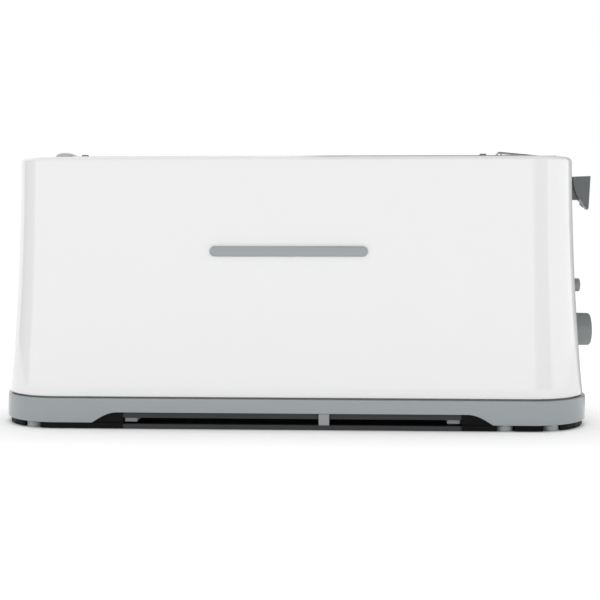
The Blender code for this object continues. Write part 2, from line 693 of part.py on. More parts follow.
def make_rack(materials):
    """Two wire frames fold flat beside the slot. The finger lever at the right end raises them."""
    stub = 8.5
    for face, side in (("front", -1), ("rear", 1)):
        rail, pivot = side * RACK_RAIL_Y, side * RACK_PIVOT_Y
        path = [(RACK_LEFT - stub, pivot, RACK_Z), (RACK_LEFT, pivot, RACK_Z), (RACK_LEFT, rail, RACK_Z)]
        path += [(RACK_RIGHT, rail, RACK_Z), (RACK_RIGHT, pivot, RACK_Z), (FINGER_PIVOT_X - 2, pivot, RACK_Z)]
        wire(f"rack_{face}_wire", rounded_path(path, 3.5, 5), WIRE_RADIUS, materials["chrome"], 2)
        for end, x in (("left", -146.5), ("right", 130.7)):
            y = sorted((side * 21.9, side * 23.9))
            low, high = (x - 2.3, y[0], TOP + GAP), (x + 2.3, y[1], 185.2)
            block(f"rack_rest_{face}_{end}", low, high, materials["grey"], 0.5)


def make_rack_blocks(material):
    """The low blocks on the housing's top that hold the wire frames' ends."""
    low = TOP + GAP
    left_x, right_x = -165.5, FINGER_PIVOT_X - 0.5
    sections = ((6.8, 9, 0, left_x), (6.6, 8.8, 2.6, left_x), (5.4, 7.8, 4.5, left_x), (3.2, 6, 5.6, left_x))
    loops = [rounded_outline(x, y, 2, low + rise, 4, (centre, 0)) for x, y, rise, centre in sections]
    left = loft("rack_left_block", loops, material)
    sections = ((5.5, 7.5, 0), (5.5, 7.5, 2.0), (4.9, 6.9, 2.6))
    loops = [rounded_outline(x, y, 2, low + rise, 4, (right_x, 0)) for x, y, rise in sections]
    right = loft("rack_right_block", loops, material)
    for face, side in (("front", -1), ("rear", 1)):
        bore = (0, side * RACK_PIVOT_Y, RACK_Z)
        radius = WIRE_RADIUS + GAP + 0.05
        left_bore = cylinder(f"left_{face}_bore_cutter", bore, (1, 0, 0), radius, -165, -155, sides=12)
        cut(left, left_bore)
        right_bore = cylinder(f"right_{face}_bore_cutter", bore, (1, 0, 0), radius, 170, 178.6, sides=12)
        cut(right, right_bore)
    cut(right, block("finger_slot_cutter", (170, -1.3, low + 0.4), (181.6, 1.3, low + 10)))
    cut(right, block("finger_pin_cutter", (178.7, -2.7, low + 0.4), (181.6, 0, low + 10)))


def make_finger_lever(material):
    """A bent wire with a curled end to lift with a fingertip. Its other end is its pivot."""
    pivot = Vector((FINGER_PIVOT_X, 0, RACK_Z + 0.9))
    eye = Vector((144.8, 0, 186.0))
    path = rounded_path([pivot + Vector((0, -2.1, 0)), pivot, eye + Vector((0, 0, 1.7))], 0.9, 3)[:-1]
    for step in range(11):
        angle = math.radians(90 + 290 * step / 10)
        path.append(eye + Vector((math.cos(angle), 0, math.sin(angle))) * 1.5)
    wire("rack_finger_lever", path, 0.75, material, 1)


def place_origin():
    """Parents every piece to an empty that puts the origin under the middle of the full box."""
    root = bpy.data.objects.new("toaster_root", None)
    root.location = (-CONTROL_REACH / 2 * MM, 0, 0)
    bpy.context.scene.collection.objects.link(root)
    for thing in list(bpy.data.objects):
        if thing is not root:
            thing.parent = root


def main():
    clear_scene()
    materials = make_materials()
    make_housing(materials["white"])
    make_slot_liner(materials["steel"])
    make_trim_bar(materials["grey"])
    make_base_ring(materials["grey"])
    make_bottom_plate(materials["black"])
    make_feet(materials["rubber"])
    make_screws(materials["steel"])
    make_under_fittings(materials["grey"])
    make_end_plates(materials["steel"])
    make_shields_and_heaters(materials)
    make_bread_guides(materials["steel"])
    make_crumb_tray(materials["steel"], materials["grey"])
    make_guide_rod(materials["steel"])
    make_carriage(materials)
    make_lift_spring(materials["steel"])
    make_magnet(materials)
    make_lever(materials["dark_grey"])
    make_board(materials)
    make_knob(materials)
    make_buttons(materials["dark_grey"])
    make_gland(materials["black"])
    make_rack(materials)
    make_rack_blocks(materials["white"])
    make_finger_lever(materials["chrome"])
    place_origin()


main()
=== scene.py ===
"""The looks of the long-slot toaster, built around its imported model.

Sizes are in metres. X runs along the toaster, with the controls on its +X end. The front faces -Y, and +Z is
up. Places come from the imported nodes' boxes.
"""

import json
import math
from functools import partial

import bmesh
import bpy
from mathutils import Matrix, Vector


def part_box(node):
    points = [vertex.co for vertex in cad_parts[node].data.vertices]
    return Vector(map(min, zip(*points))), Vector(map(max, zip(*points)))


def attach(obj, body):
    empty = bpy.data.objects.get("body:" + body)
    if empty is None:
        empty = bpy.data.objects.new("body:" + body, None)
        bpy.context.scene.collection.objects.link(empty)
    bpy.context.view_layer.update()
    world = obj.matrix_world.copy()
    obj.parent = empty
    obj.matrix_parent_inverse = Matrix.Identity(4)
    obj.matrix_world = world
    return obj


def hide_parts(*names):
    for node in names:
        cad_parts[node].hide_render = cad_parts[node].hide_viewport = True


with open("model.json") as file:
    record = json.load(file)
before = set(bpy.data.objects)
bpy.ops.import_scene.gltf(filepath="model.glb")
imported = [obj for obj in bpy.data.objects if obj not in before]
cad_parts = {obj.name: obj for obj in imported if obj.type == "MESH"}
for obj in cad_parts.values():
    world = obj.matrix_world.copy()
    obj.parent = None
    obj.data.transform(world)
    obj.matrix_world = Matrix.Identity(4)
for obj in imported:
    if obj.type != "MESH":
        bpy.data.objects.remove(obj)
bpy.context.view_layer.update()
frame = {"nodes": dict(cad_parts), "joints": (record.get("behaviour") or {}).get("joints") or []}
nodes = frame["nodes"]

# Sizes read from the frame
ring_low, ring_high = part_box("base_ring")
shell_low, shell_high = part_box("housing_shell")
MIDDLE = (ring_low.x + ring_high.x) / 2
HALF_LENGTH = (ring_high.x - ring_low.x) / 2
HALF_DEPTH = (ring_high.y - ring_low.y) / 2
TOP = shell_high.z
SHELL_LOW = shell_low.z
RING_LOW = ring_low.z

# Sizes of the shapes made here, in metres
CORNER = 0.042
WALL = 0.0025
SHELL_INSET_LOW = ring_high.x - shell_high.x
SHELL_FLARE = 0.0069
NECK_LOW = 0.1538
TOP_FILLET = 0.0032
RING_TOP = ring_high.z - 0.005
HAIR = 0.0001

# Light levels, where 1 is white
LIGHT_AROUND = 0.93
LIGHT_ABOVE = 0.53
FLOOR_GLOW = 0.36


# Mesh tools


def mesh_piece(name, bm, smooth_angle=35):
    """Turns a bmesh into a smoothly shaded object."""
    bmesh.ops.recalc_face_normals(bm, faces=bm.faces)
    mesh = bpy.data.meshes.new(name)
    bm.to_mesh(mesh)
    bm.free()
    mesh.shade_smooth()
    mesh.set_sharp_from_angle(angle=math.radians(smooth_angle))
    piece = bpy.data.objects.new(name, mesh)
    bpy.context.scene.collection.objects.link(piece)
    return piece


def loft(name, loops, closed=False, smooth_angle=35):
    """Skins loops of equal point count, capped at the ends or joined end to end."""
    bm = bmesh.new()
    rows = [[bm.verts.new(point) for point in loop] for loop in loops]
    count = len(rows[0])
    pairs = list(zip(rows, rows[1:]))
    if closed:
        pairs.append((rows[-1], rows[0]))
    for low, high in pairs:
        for i in range(count):
            j = (i + 1) % count
            bm.faces.new((low[i], low[j], high[j], high[i]))
    if not closed:
        bm.faces.new(rows[0])
        bm.faces.new(rows[-1])
    return mesh_piece(name, bm, smooth_angle)


def turned(name, profile, centre, axis, sides=72, smooth_angle=35):
    """Turns (distance along the axis, radius) points about an axis through centre."""
    turn = Vector((0, 0, 1)).rotation_difference(Vector(axis)).to_matrix()
    bm = bmesh.new()
    rows = []
    for along, radius in profile:
        if radius == 0:
            rows.append([bm.verts.new(turn @ Vector((0, 0, along)) + Vector(centre))])
            continue
        row = []
        for side in range(sides):
            angle = 2 * math.pi * side / sides
            point = Vector((radius * math.cos(angle), radius * math.sin(angle), along))
            row.append(bm.verts.new(turn @ point + Vector(centre)))
        rows.append(row)
    pairs = list(zip(rows, rows[1:]))
    if len(rows[0]) > 1 and len(rows[-1]) > 1:
        pairs.append((rows[-1], rows[0]))
    for first, second in pairs:
        for i in range(sides):
            j = (i + 1) % sides
            corners = [first[i % len(first)], first[j % len(first)]]
            corners += [second[j % len(second)], second[i % len(second)]]
            bm.faces.new(list(dict.fromkeys(corners)))
    return mesh_piece(name, bm, smooth_angle)


def block(name, low, high):
    bm = bmesh.new()
    bmesh.ops.create_cube(bm, size=1.0)
    bmesh.ops.scale(bm, vec=Vector(high) - Vector(low), verts=bm.verts)
    bmesh.ops.translate(bm, vec=(Vector(high) + Vector(low)) / 2, verts=bm.verts)
    return mesh_piece(name, bm)


def cylinder(name, centre, axis, radius, start, end, sides=48):
    return turned(name, [(start, 0), (start, radius), (end, radius), (end, 0)], centre, axis, sides)


def tube(name, points, radius, resolution=6):
    """A round wire as a mesh, along points."""
    curve = bpy.data.curves.new(name, "CURVE")
    curve.dimensions = "3D"
    curve.bevel_depth = radius
    curve.bevel_resolution = resolution
    curve.use_fill_caps = True
    spline = curve.splines.new("POLY")
    spline.points.add(len(points) - 1)
    for slot, point in zip(spline.points, points):
        slot.co = (*point, 1.0)
    guide = bpy.data.objects.new(name + "_guide", curve)
    bpy.context.scene.collection.objects.link(guide)
    piece = bpy.data.objects.new(name, evaluated_mesh(guide))
    piece.data.shade_smooth()
    piece.data.set_sharp_from_angle(angle=math.radians(50))
    bpy.data.objects.remove(guide)
    bpy.context.scene.collection.objects.link(piece)
    return piece


def evaluated_mesh(thing):
    graph = bpy.context.evaluated_depsgraph_get()
    graph.update()
    return bpy.data.meshes.new_from_object(thing.evaluated_get(graph), depsgraph=graph)


def cut(piece, cutters):
    """Cuts each cutter from the piece and deletes it."""
    for cutter in cutters:
        modifier = piece.modifiers.new("cut", "BOOLEAN")
        modifier.operation = "DIFFERENCE"
        modifier.solver = "EXACT"
        modifier.object = cutter
    mesh = evaluated_mesh(piece)
    piece.modifiers.clear()
    piece.data = mesh
    for cutter in cutters:
        bpy.data.objects.remove(cutter)


def soften(piece, width, segments=2, angle=35):
    """Rounds the piece's sharp edges and keeps its flat faces flat in the shading."""
    bevel = piece.modifiers.new("edge", "BEVEL")
    bevel.width = width
    bevel.segments = segments
    bevel.limit_method = "ANGLE"
    bevel.angle_limit = math.radians(angle)
    bevel.harden_normals = False
    normals = piece.modifiers.new("normals", "WEIGHTED_NORMAL")
    normals.keep_sharp = True
    normals.weight = 60


def rounded_outline(half_x, half_y, radius, z, steps=20, centre=(MIDDLE, 0.0)):
    """A rounded rectangle at height z, counter-clockwise seen from above."""
    points = []
    for sign_x, sign_y, start in ((1, 1, 0), (-1, 1, 90), (-1, -1, 180), (1, -1, 270)):
        for step in range(steps + 1):
            angle = math.radians(start + 90 * step / steps)
            x = centre[0] + sign_x * (half_x - radius) + radius * math.cos(angle)
            y = centre[1] + sign_y * (half_y - radius) + radius * math.sin(angle)
            points.append((x, y, z))
    return points


def base_outline(inset, z):
    return rounded_outline(HALF_LENGTH - inset, HALF_DEPTH - inset, CORNER - inset, z)


def quarter_round(centre, radius, start, end, steps=6):
    """(inset, z) points along an arc. Angles are in degrees, from outwards (0) to up (90)."""
    points = []
    for step in range(steps + 1):
        angle = math.radians(start + (end - start) * step / steps)
        points.append((centre[0] - radius * math.cos(angle), centre[1] + radius * math.sin(angle)))
    return points


def rounded_path(points, radius, steps=10):
    """The path through points with its inner corners rounded."""
    path = [Vector(points[0])]
    for before, here, after in zip(points, points[1:], points[2:]):
        here = Vector(here)
        back = (Vector(before) - here).normalized()
        forward = (Vector(after) - here).normalized()
        half_angle = back.angle(forward) / 2
        reach = radius / math.tan(half_angle)
        centre = here + (back + forward).normalized() * radius / math.sin(half_angle)
        first = (here + back * reach - centre).normalized()
        last = (here + forward * reach - centre).normalized()
        for step in range(steps + 1):
            path.append(centre + first.slerp(last, step / steps) * radius)
    path.append(Vector(points[-1]))
    return path


# Materials


def new_material(name):
    material = bpy.data.materials.new(name)
    material.use_nodes = True
    tree = material.node_tree
    return material, tree, tree.nodes["Principled BSDF"]


def texture(tree, kind, scale, stretch=(1, 1, 1), **values):
    """A texture node fed by object coordinates, which are metres on every piece."""
    place = tree.nodes.new("ShaderNodeTexCoord")
    mapping = tree.nodes.new("ShaderNodeMapping")
    mapping.inputs["Scale"].default_value = stretch
    tree.links.new(place.outputs["Object"], mapping.inputs["Vector"])
    node = tree.nodes.new(kind)
    node.inputs["Scale"].default_value = scale
    for key, value in values.items():
        node.inputs[key].default_value = value
    tree.links.new(mapping.outputs["Vector"], node.inputs["Vector"])
    return node


def map_range(tree, source, low, high, start=0.0, end=1.0, kind="LINEAR"):
    """Turns low to high in source into start to end."""
    node = tree.nodes.new("ShaderNodeMapRange")
    node.interpolation_type = kind
    node.inputs["From Min"].default_value = low
    node.inputs["From Max"].default_value = high
    node.inputs["To Min"].default_value = start
    node.inputs["To Max"].default_value = end
    tree.links.new(source, node.inputs["Value"])
    return node.outputs["Result"]


def calculate(tree, operation, first, second):
    """A math node whose inputs are numbers or the outputs of other nodes."""
    node = tree.nodes.new("ShaderNodeMath")
    node.operation = operation
    for socket, value in zip(node.inputs, (first, second)):
        if isinstance(value, float):
            socket.default_value = value
        else:
            tree.links.new(value, socket)
    return node.outputs["Value"]


def vary_colour(tree, shader, source, dark, light):
    """Base colour between dark and light, following source."""
    ramp = tree.nodes.new("ShaderNodeValToRGB")
    ramp.color_ramp.interpolation = "EASE"
    ramp.color_ramp.elements[0].color = (*dark, 1)
    ramp.color_ramp.elements[1].color = (*light, 1)
    ramp.color_ramp.elements[0].position = 0.2
    ramp.color_ramp.elements[1].position = 0.8
    tree.links.new(source, ramp.inputs["Fac"])
    tree.links.new(ramp.outputs["Color"], shader.inputs["Base Color"])
    return ramp


def vary_roughness(tree, shader, source, low, high):
    tree.links.new(map_range(tree, source, 0.0, 1.0, low, high), shader.inputs["Roughness"])


def add_bump(tree, shader, source, strength, distance):
    bump = tree.nodes.new("ShaderNodeBump")
    bump.inputs["Strength"].default_value = strength
    bump.inputs["Distance"].default_value = distance
    tree.links.new(source, bump.inputs["Height"])
    tree.links.new(bump.outputs["Normal"], shader.inputs["Normal"])


def moulded_plastic(name, colour, roughness, grain, depth, tint=0.03, coat=0.0):
    """Moulded plastic: a fine surface grain, slow changes of tone, and uneven gloss."""
    material, tree, shader = new_material(name)
    slow = texture(tree, "ShaderNodeTexNoise", 18, Detail=3.0)
    fine = texture(tree, "ShaderNodeTexNoise", grain, Detail=2.0)
    dark = [channel * (1 - tint) for channel in colour]
    light = [min(1.0, channel * (1 + tint)) for channel in colour]
    vary_colour(tree, shader, slow.outputs["Fac"], dark, light)
    vary_roughness(tree, shader, slow.outputs["Fac"], roughness * 0.85, roughness * 1.15)
    add_bump(tree, shader, fine.outputs["Fac"], 1.0, depth)
    shader.inputs["IOR"].default_value = 1.5
    shader.inputs["Coat Weight"].default_value = coat
    return material


def brushed_metal(name, colour, roughness, stretch, scratch=1.0):
    """Sheet metal with a brushed grain along one direction."""
    material, tree, shader = new_material(name)
    grain = texture(tree, "ShaderNodeTexNoise", 900, stretch, Detail=3.0)
    slow = texture(tree, "ShaderNodeTexNoise", 30, Detail=2.0)
    dark = [channel * 0.86 for channel in colour]
    vary_colour(tree, shader, slow.outputs["Fac"], dark, colour)
    vary_roughness(tree, shader, grain.outputs["Fac"], roughness * 0.7, roughness * 1.3)
    add_bump(tree, shader, grain.outputs["Fac"], scratch, 0.000004)
    shader.inputs["Metallic"].default_value = 1.0
    return material


def chrome_wire(name):
    """Polished plating with faint streaks along the wire."""
    material, tree, shader = new_material(name)
    streaks = texture(tree, "ShaderNodeTexNoise", 700, (0.05, 1, 1), Detail=2.0)
    vary_colour(tree, shader, streaks.outputs["Fac"], (0.34, 0.35, 0.36), (0.42, 0.43, 0.44))
    vary_roughness(tree, shader, streaks.outputs["Fac"], 0.05, 0.12)
    shader.inputs["Metallic"].default_value = 1.0
    return material


def mica(name):
    """Pressed mica board: pale flakes with a slight shimmer."""
    material, tree, shader = new_material(name)
    flakes = texture(tree, "ShaderNodeTexVoronoi", 260, (1, 1, 0.6))
    speckle = texture(tree, "ShaderNodeTexNoise", 900, Detail=4.0)
    mix = tree.nodes.new("ShaderNodeMath")
    mix.operation = "MULTIPLY_ADD"
    mix.inputs[1].default_value = 0.5
    tree.links.new(flakes.outputs["Distance"], mix.inputs[0])
    tree.links.new(speckle.outputs["Fac"], mix.inputs[2])
    vary_colour(tree, shader, mix.outputs["Value"], (0.42, 0.36, 0.26), (0.70, 0.64, 0.52))
    vary_roughness(tree, shader, flakes.outputs["Distance"], 0.25, 0.7)
    add_bump(tree, shader, flakes.outputs["Distance"], 0.4, 0.00005)
    return material


def circuit_board(name):
    """Green solder mask with paler tracks."""
    material, tree, shader = new_material(name)
    tracks = texture(tree, "ShaderNodeTexBrick", 160, (1, 1, 1))
    tracks.inputs["Color1"].default_value = (0.2, 0.2, 0.2, 1)
    tracks.inputs["Color2"].default_value = (0.35, 0.35, 0.35, 1)
    tracks.inputs["Mortar"].default_value = (0.9, 0.9, 0.9, 1)
    tracks.inputs["Mortar Size"].default_value = 0.03
    vary_colour(tree, shader, tracks.outputs["Color"], (0.012, 0.10, 0.035), (0.05, 0.24, 0.10))
    add_bump(tree, shader, tracks.outputs["Color"], 0.3, 0.00003)
    shader.inputs["Roughness"].default_value = 0.35
    return material


def base_plastic_painted_shade(name):
    """Moulded plastic, dark grey between the cord cleats where the front notch shows it, and painted
    near-black beyond them as shade under the ring.
    """
    material = moulded_plastic(name, (0.002, 0.002, 0.002), 0.5, 2600, 0.000030, 0.10)
    tree = material.node_tree
    shader = tree.nodes["Principled BSDF"]
    shader.inputs["Specular IOR Level"].default_value = 0.12
    place = tree.nodes.new("ShaderNodeTexCoord")
    parts = tree.nodes.new("ShaderNodeSeparateXYZ")
    tree.links.new(place.outputs["Object"], parts.inputs["Vector"])
    offset = tree.nodes.new("ShaderNodeMath")
    offset.operation = "SUBTRACT"
    offset.inputs[1].default_value = MIDDLE
    tree.links.new(parts.outputs["X"], offset.inputs[0])
    size = tree.nodes.new("ShaderNodeMath")
    size.operation = "ABSOLUTE"
    tree.links.new(offset.outputs["Value"], size.inputs[0])
    # Painted shade: the plate stays near-black beyond 0.112 m either side of the middle, where the ring
    # shades it, and turns dark grey inside that span
    span = tree.nodes.new("ShaderNodeMapRange")
    span.inputs["From Min"].default_value = 0.1125
    span.inputs["From Max"].default_value = 0.1115
    tree.links.new(size.outputs["Value"], span.inputs["Value"])
    mix = tree.nodes.new("ShaderNodeMix")
    mix.data_type = "RGBA"
    ramp = next(node for node in tree.nodes if node.bl_idname == "ShaderNodeValToRGB")
    tree.links.new(span.outputs["Result"], mix.inputs["Factor"])
    tree.links.new(ramp.outputs["Color"], mix.inputs["A"])
    mix.inputs["B"].default_value = (0.052, 0.054, 0.056, 1)
    tree.links.new(mix.outputs["Result"], shader.inputs["Base Color"])
    return material


def make_materials():
    return {
        "white": moulded_plastic("white_gloss", (0.86, 0.86, 0.86), 0.08, 900, 0.0000010, 0.003),
        "grey": moulded_plastic("grey_satin", (0.322, 0.350, 0.359), 0.12, 5200, 0.000003, 0.010),
        # Painted shade: the rack blocks get a mid grey that paints the shade on these pale blocks
        "block": moulded_plastic("rack_block_painted_shade", (0.50, 0.51, 0.52), 0.30, 3200, 0.000010, 0.02),
        "knob": moulded_plastic("knob_grey", (0.215, 0.232, 0.232), 0.34, 4800, 0.000010, 0.02),
        "lever": moulded_plastic("lever_grey", (0.110, 0.118, 0.120), 0.30, 4800, 0.000010, 0.03),
        "black": moulded_plastic("black_grained", (0.010, 0.010, 0.011), 0.55, 2600, 0.000030, 0.10),
        "base": base_plastic_painted_shade("base_painted_shade"),
        "rubber": moulded_plastic("foot_rubber", (0.36, 0.37, 0.375), 0.60, 1500, 0.000030, 0.06),
        "fitting": moulded_plastic("fitting_grey", (0.30, 0.315, 0.32), 0.40, 3200, 0.000015, 0.04),
        "chrome": chrome_wire("rack_chrome"),
        "steel_x": brushed_metal("steel_brushed_x", (0.60, 0.61, 0.62), 0.30, (0.04, 1, 1)),
        "steel_z": brushed_metal("steel_brushed_z", (0.58, 0.59, 0.60), 0.34, (1, 1, 0.04)),
        "zinc": brushed_metal("zinc_plated", (0.62, 0.62, 0.58), 0.26, (1, 1, 1), 0.6),
        "spring": brushed_metal("spring_steel", (0.42, 0.42, 0.43), 0.28, (1, 1, 0.3), 0.6),
        "element": brushed_metal("heating_wire", (0.30, 0.25, 0.22), 0.45, (0.3, 1, 1), 0.8),
        "copper": brushed_metal("copper_wire", (0.70, 0.33, 0.17), 0.30, (1, 1, 14), 2.0),
        "mica": mica("mica_board"),
        "board": circuit_board("circuit_board"),
        "ceramic": moulded_plastic("relay_blue", (0.03, 0.09, 0.25), 0.30, 2000, 0.000010, 0.04),
    }


def dress(piece, material):
    piece.data.materials.clear()
    piece.data.materials.append(material)


def finish_piece(piece, material, body, stands_for=None):
    """Gives a piece its material, the body it rides on and the node it stands for."""
    dress(piece, material)
    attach(piece, body)
    if stands_for:
        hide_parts(stands_for)


# Outer shells


def shell_inset(z):
    """How far the housing's wall stands in from the base's outline at height z."""
    share = (TOP - z) / (TOP - SHELL_LOW)
    return SHELL_INSET_LOW + SHELL_FLARE * (1 - share**2)


def make_housing(materials):
    """The white shell, with a fine curve in its walls and its openings cut through."""
    fillet_start = TOP - TOP_FILLET
    edge = 0.0006
    loops = []
    inner_top = TOP - WALL
    for step in range(9):
        z = inner_top + (SHELL_LOW - inner_top) * step / 8
        loops.append(base_outline(shell_inset(z) + WALL, z))
    loops.append(base_outline(shell_inset(SHELL_LOW) + edge, SHELL_LOW))
    loops.append(base_outline(shell_inset(SHELL_LOW) + edge * 0.3, SHELL_LOW + edge * 0.3))
    for step in range(25):
        z = SHELL_LOW + edge + (fillet_start - SHELL_LOW - edge) * step / 24
        loops.append(base_outline(shell_inset(z), z))
    centre = (shell_inset(fillet_start) + TOP_FILLET, fillet_start)
    loops += [base_outline(inset, z) for inset, z in quarter_round(centre, TOP_FILLET, 9, 90, 9)]
    housing = loft("housing_skin", loops)

    lip_low, lip_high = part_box("slot_liner")
    slot_middle = (lip_low.x + lip_high.x) / 2
    slot_half = (lip_high.x - lip_low.x) / 2 - 0.0022
    slot_half_y = lip_high.y - 0.0022
    cutters = [loft("slot_cutter", [
        rounded_outline(slot_half, slot_half_y, 0.0065, z, 12, (slot_middle, 0))
        for z in (TOP - 0.01, TOP + 0.01)
    ])]
    lever_low, lever_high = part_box("lever_knob")
    travel = frame["joints"][0]["range_m"][1]
    half = 0.0033
    cutters.append(block("lever_cutter", (lever_low.x - 0.01, -half, NECK_LOW - travel - 0.001),
                         (lever_low.x + 0.008, half, lever_high.z + 0.0004)))
    for name in ("cancel_button", "defrost_button", "reheat_button"):
        low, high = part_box(name)
        centre = (0, (low.y + high.y) / 2, (low.z + high.z) / 2)
        cutters.append(cylinder(name + "_hole", centre, (1, 0, 0), 0.00485, low.x - 0.002, high.x))
    shaft_low, shaft_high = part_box("browning_shaft")
    centre = (0, 0, (shaft_low.z + shaft_high.z) / 2)
    cutters.append(cylinder("shaft_hole", centre, (1, 0, 0), 0.0035, shaft_low.x, shaft_high.x))
    gland_low, gland_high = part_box("cord_gland")
    centre = ((gland_low.x + gland_high.x) / 2, 0, (gland_low.z + gland_high.z) / 2)
    gland_ends = (gland_low.y - 0.004, gland_high.y + 0.004)
    cutters.append(cylinder("gland_hole", centre, (0, 1, 0), 0.0055, *gland_ends))
    cut(housing, cutters)
    housing.data.shade_smooth()
    housing.data.set_sharp_from_angle(angle=math.radians(35))
    finish_piece(housing, materials["white"], "toaster_body", "housing_shell")


def make_base_ring(materials):
    """The grey skirt with soft edges, its ledge, the front notch and the tray window."""
    upstand_low, upstand_high = 0.0049, 0.0064
    low_edge, high_edge = 0.0010, 0.0006
    profile = [(WALL, RING_LOW)]
    profile += quarter_round((low_edge, RING_LOW + low_edge), low_edge, -90, 0)
    profile += quarter_round((high_edge, RING_TOP - high_edge), high_edge, 0, 90)
    profile += [(upstand_low, RING_TOP), (upstand_low, ring_high.z), (upstand_high, ring_high.z)]
    profile += [(upstand_high, RING_TOP - WALL), (WALL, RING_TOP - WALL)]
    ring = loft("base_ring_skin", [base_outline(inset, z) for inset, z in profile], closed=True)

    notch_low, notch_high, notch_top = 0.1330, 0.1158, 0.0113
    steps = 24
    side = [(notch_low, 0.0)]
    for step in range(steps + 1):
        share = step / steps
        rise = math.sin(math.pi / 2 * share)
        x = notch_low + (notch_high - notch_low) * share
        side.append((x, RING_LOW + (notch_top - RING_LOW) * rise))
    outline = side + [(-x, z) for x, z in reversed(side)]
    front = ring_low.y
    loops = [[(MIDDLE + x, y, z) for x, z in outline] for y in (front - 0.005, front + 0.008)]
    notch = loft("notch_cutter", loops)
    grip_low, grip_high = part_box("crumb_tray_grip")
    window = block("window_cutter", (grip_low.x - 0.0006, ring_high.y - 0.008, 0),
                   (grip_high.x + 0.0006, ring_high.y + 0.005, grip_high.z + 0.0005))
    cut(ring, [notch, window])
    ring.data.shade_smooth()
    ring.data.set_sharp_from_angle(angle=math.radians(35))
    finish_piece(ring, materials["grey"], "toaster_body", "base_ring")


def make_trim_bar(materials):
    """The grey bar on the front, with round ends and a softly rounded face."""
    low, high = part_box("front_trim_bar")
    half_length, half_height = (high.x - low.x) / 2, 0.0034
    centre = Vector(((low.x + high.x) / 2, 0, (low.z + high.z) / 2))
    wall = -HALF_DEPTH + shell_inset(centre.z)
    lean = math.atan(SHELL_FLARE * 2 * (TOP - centre.z) / (TOP - SHELL_LOW) ** 2)
    proud, edge = 0.0020, 0.0008
    loops = []
    sections = [(0.0, 0.00035), (0.0, proud - edge)]
    sections += [(edge * (1 - math.cos(a)), proud - edge + edge * math.sin(a))
                 for a in (math.radians(15 * k) for k in range(1, 7))]
    for shrink, out in sections:
        radius = half_height - shrink - HAIR / 10
        flat = rounded_outline(half_length - shrink, half_height - shrink, radius, 0, 24, (0, 0))
        loops.append([(x, y, out) for x, y, _ in flat])
    bar = loft("trim_bar", loops, smooth_angle=40)
    bar.location = (centre.x, wall, centre.z)
    bar.rotation_euler = (math.pi / 2 - lean, 0, 0)
    bpy.context.view_layer.update()
    finish_piece(bar, materials["grey"], "toaster_body", "front_trim_bar")


def make_slot_liner(materials):
    """The bright steel collar of the bread slot with its rolled lip."""
    low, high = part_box("slot_liner")
    middle = (low.x + high.x) / 2
    half_x, half_y = (high.x - low.x) / 2, (high.y - low.y) / 2
    lip, skin = 0.0035, 0.0010
    sections = [(lip, low.z), (lip, high.z - 0.0006)]
    sections += [(lip - 0.0006 * math.sin(a), high.z - 0.0006 + 0.0006 * (1 - math.cos(a)))
                 for a in (math.radians(30 * k) for k in range(1, 4))]
    sections += [(0.0006, high.z), (0.0002, high.z - 0.0002), (0, high.z - 0.0005), (0, high.z - 0.0008)]
    sections += [(lip - skin, high.z - 0.0008), (lip - skin, low.z)]
    loops = [rounded_outline(half_x - inset, half_y - inset, 0.0085 - inset, z, 14, (middle, 0))
             for inset, z in sections]
    liner = loft("slot_collar", loops, closed=True)
    finish_piece(liner, materials["steel_x"], "toaster_body", "slot_liner")


# Controls


def make_lever(materials):
    """The lever's paddle, bowed along its face and hollowed underneath, with soft edges."""
    low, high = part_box("lever_knob")
    x0 = low.x
    top = high.z - 0.0005
    neck_low, neck_half = NECK_LOW, 0.0025
    tip, tip_radius = Vector((x0 + 0.0137, low.z + 0.0008)), 0.0008
    outline = [(x0, neck_low), (x0, top), (x0 + 0.0158, top + 0.0005)]
    for step in range(13):
        angle = math.radians(-12 - 118 * step / 12)
        outline.append((tip.x + tip_radius * math.cos(angle), tip.y + tip_radius * math.sin(angle)))
    start, bend = Vector(outline[-1]), Vector((x0 + 0.0106, 0.1504))
    end = Vector((x0 + 0.0084, neck_low))
    for step in range(1, 13):
        share = step / 12
        point = start * (1 - share) ** 2 + bend * 2 * share * (1 - share) + end * share**2
        outline.append((point.x, point.y))
    half, corner = (high.y - low.y) / 2, 0.0012
    sides = [(half - corner + corner * math.sin(a), corner * (1 - math.cos(a)))
             for a in (math.radians(15 * k) for k in range(7))]
    middle = [((half - corner) * k / 6, -0.0003 * (1 - k / 6)) for k in range(6)]
    bow = middle + sides
    loops = []
    for y, pull in [(-y, pull) for y, pull in reversed(bow[1:])] + bow:
        lift = 0.0018 * (abs(y) / half) ** 3 / (neck_low - low.z)
        raised = [(x, z + lift * max(0.0, neck_low - z)) for x, z in outline]
        loops.append([(x - pull if x > x0 + 0.0104 else x, y, z) for x, z in raised])
    lever = loft("lever_paddle", loops)
    cutters = []
    # What is cut away beside the neck, as distance from the neck's inner end, and height
    beside = [(-0.01, 0.149), (0.0106, 0.149), (0.0098, 0.1518), (0.0076, 0.1545), (0.0056, 0.158),
              (0.0042, 0.1625), (0.0033, 0.168), (0.003, 0.175), (-0.01, 0.175)]
    for face, near, far in (("front", -0.02, -neck_half), ("rear", neck_half, 0.02)):
        cutters.append(loft(f"neck_{face}", [[(x0 + x, y, z) for x, z in beside] for y in (near, far)]))
    pocket = 0.0022
    pocket_high = (x0 + 0.0107, pocket, top - 0.0014)
    cutters.append(block("pocket", (x0 - 0.01, -pocket, neck_low + 0.0012), pocket_high))
    cut(lever, cutters)
    lever.data.shade_smooth()
    lever.data.set_sharp_from_angle(angle=math.radians(30))
    soften(lever, 0.0004, 3, 30)
    finish_piece(lever, materials["lever"], "carriage", "lever_knob")


